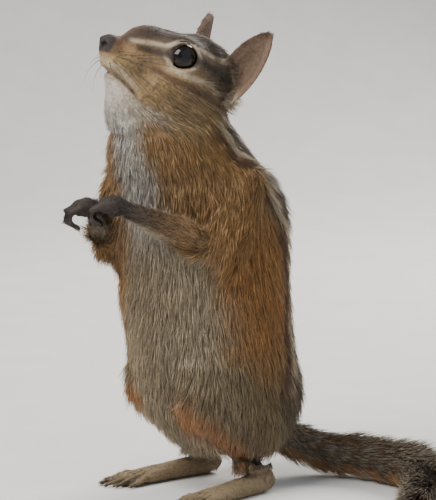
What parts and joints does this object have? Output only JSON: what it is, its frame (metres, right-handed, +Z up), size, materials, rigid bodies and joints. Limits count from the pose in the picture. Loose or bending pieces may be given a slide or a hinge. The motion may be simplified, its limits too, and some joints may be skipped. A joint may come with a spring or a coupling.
{
  "type": "standing chipmunk",
  "caption": "Life-size chipmunk standing upright on its hind legs, forepaws held together at the chest, head raised, striped coat, bushy tail laid along the floor.",
  "frame": {"origin": "on the floor, at the middle of the whole outline seen from above", "axes": "+Z up; the hind feet point along -Y; +X is the animal's left"},
  "size_m": [0.0884, 0.0832, 0.1148],
  "materials": {
    "head_fur": "short soft fur",
    "belly_fur": "soft fur",
    "flank_fur": "soft fur",
    "tail_fur": "long bristly fur",
    "ear_skin": "thin skin with very short hair",
    "paw_skin": "short hair over skin",
    "eye": "wet gloss"
  },
  "bodies": {
    "root": {"head": "head_fur", "neck": "belly_fur", "torso": "belly_fur", "eye_left": "eye", "ear_left": "ear_skin", "upper_arm_left": "flank_fur", "forearm_left": "flank_fur", "hand_left": "paw_skin", "thigh_left": "flank_fur", "shank_left": "flank_fur", "foot_left": "paw_skin", "eye_right": "eye", "ear_right": "ear_skin", "upper_arm_right": "flank_fur", "forearm_right": "flank_fur", "hand_right": "paw_skin", "thigh_right": "flank_fur", "shank_right": "flank_fur", "foot_right": "paw_skin", "tail_root": "tail_fur", "tail_middle": "tail_fur", "tail_tip": "tail_fur"}
  },
  "joints": []
}
